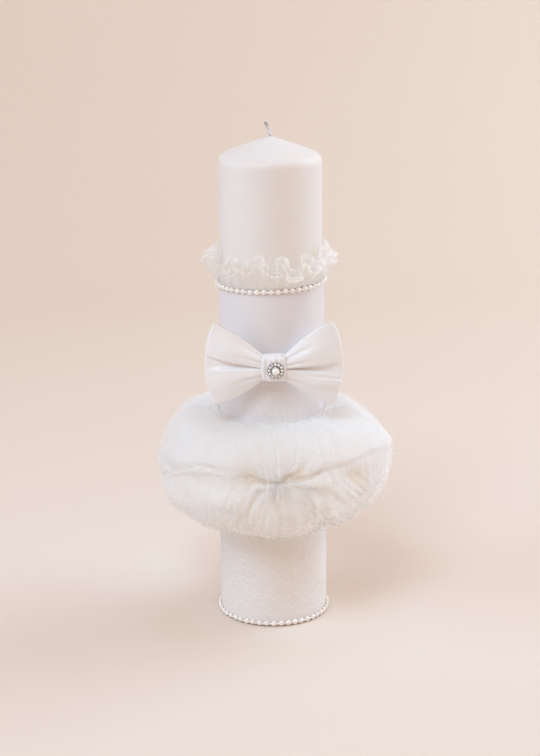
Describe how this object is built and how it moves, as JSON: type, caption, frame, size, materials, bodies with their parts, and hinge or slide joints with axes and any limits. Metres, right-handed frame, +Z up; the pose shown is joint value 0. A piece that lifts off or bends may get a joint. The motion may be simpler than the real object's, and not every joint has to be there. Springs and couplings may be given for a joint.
{
  "type": "dressed unity candle",
  "caption": "White pillar candle wrapped in satin and lace, with a gathered tulle pouf, an organza ruffle, pearl trims and a satin bow with a rhinestone brooch.",
  "frame": {"origin": "on the candle's axis, in the plane of its flat base", "axes": "+Z up along the candle's axis, -Y towards the viewer of the bow and brooch, +X to that viewer's right"},
  "size_m": [0.158, 0.158, 0.3476],
  "materials": {
    "wax": "smooth warm-white candle wax, slightly translucent",
    "wick_cotton": "braided cotton",
    "tin": "tinned steel",
    "satin_ribbon": "white satin ribbon",
    "lace": "embroidered lace",
    "organza": "sheer ivory organza with satin edges",
    "pearl": "ivory imitation pearl",
    "tulle": "soft white tulle net",
    "thread": "white sewing thread",
    "bow_satin": "ivory-white satin with a soft sheen",
    "dark_silver": "polished dark silver plate",
    "rhinestone": "clear faceted glass with a foiled back"
  },
  "bodies": {
    "root": {"wax_pillar": "wax", "wick": "wick_cotton", "wick_sustainer": "tin", "satin_wrap": "satin_ribbon", "lace_wrap": "lace", "organza_ruffle": "organza", "top_pearl_trim": "pearl", "base_pearl_trim": "pearl", "tulle_upper_puff": "tulle", "tulle_lower_puff": "tulle", "tulle_gather_tie": "thread", "bow_loops": "bow_satin", "bow_knot": "bow_satin", "brooch_setting": "dark_silver", "brooch_pearl": "pearl", "rhinestone_01": "rhinestone", "rhinestone_02": "rhinestone", "rhinestone_03": "rhinestone", "rhinestone_04": "rhinestone", "rhinestone_05": "rhinestone", "rhinestone_06": "rhinestone", "rhinestone_07": "rhinestone", "rhinestone_08": "rhinestone", "rhinestone_09": "rhinestone", "rhinestone_10": "rhinestone", "rhinestone_11": "rhinestone", "rhinestone_12": "rhinestone"}
  },
  "joints": []
}
